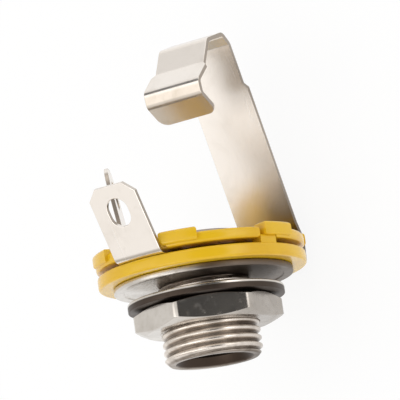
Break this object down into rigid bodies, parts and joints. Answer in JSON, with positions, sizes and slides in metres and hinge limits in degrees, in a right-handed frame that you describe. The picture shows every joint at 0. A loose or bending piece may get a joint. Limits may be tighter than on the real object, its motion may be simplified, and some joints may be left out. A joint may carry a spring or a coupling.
{
  "type": "quarter inch phone jack",
  "caption": "Open mono panel jack for a quarter inch phone plug: threaded barrel with nut and washer, insulated stack, hooked leaf contact and solder lugs.",
  "frame": {"origin": "on the barrel's axis, in the front face of the front plate, which bears on the back of the panel", "axes": "+Y along the barrel's axis towards the back of the jack, -Y towards the plug, -Z towards the leaf spring"},
  "size_m": [0.0208, 0.0322, 0.0271],
  "materials": {
    "bright_nickel": "bright nickel plate",
    "satin_nickel": "satin nickel plate",
    "yellow_plastic": "glossy yellow moulding"
  },
  "bodies": {
    "root": {"bushing": "bright_nickel", "front_plate": "bright_nickel", "front_insulator": "yellow_plastic", "tip_terminal": "satin_nickel", "rear_insulator": "yellow_plastic", "backing_washer": "bright_nickel", "ground_terminal": "satin_nickel"},
    "leaf": {"tip_spring": "satin_nickel"},
    "washer": {"flat_washer": "bright_nickel"},
    "nut": {"hex_nut": "bright_nickel"}
  },
  "joints": [
    {"name": "tip_flex", "type": "hinge", "parent": "root", "child": "leaf", "pos_m": [0, 0.0021, -0.0123], "axis": [-1, 0, 0], "range_deg": [0, 16], "stiffness_Nm_per_rad": 0.25},
    {"name": "washer_travel", "type": "slide", "parent": "root", "child": "washer", "axis": [0, 1, 0], "range_m": [-0.00555, 0.00099]},
    {"name": "nut_turn", "type": "hinge", "parent": "washer", "child": "nut", "pos_m": [0, -0.00312, 0], "axis": [0, 1, 0], "range_deg": [-2520, 450]}
  ],
  "couplings": [
    {"joint": "nut_turn", "follows": "washer_travel", "rad_per_m": 7915.8}
  ]
}
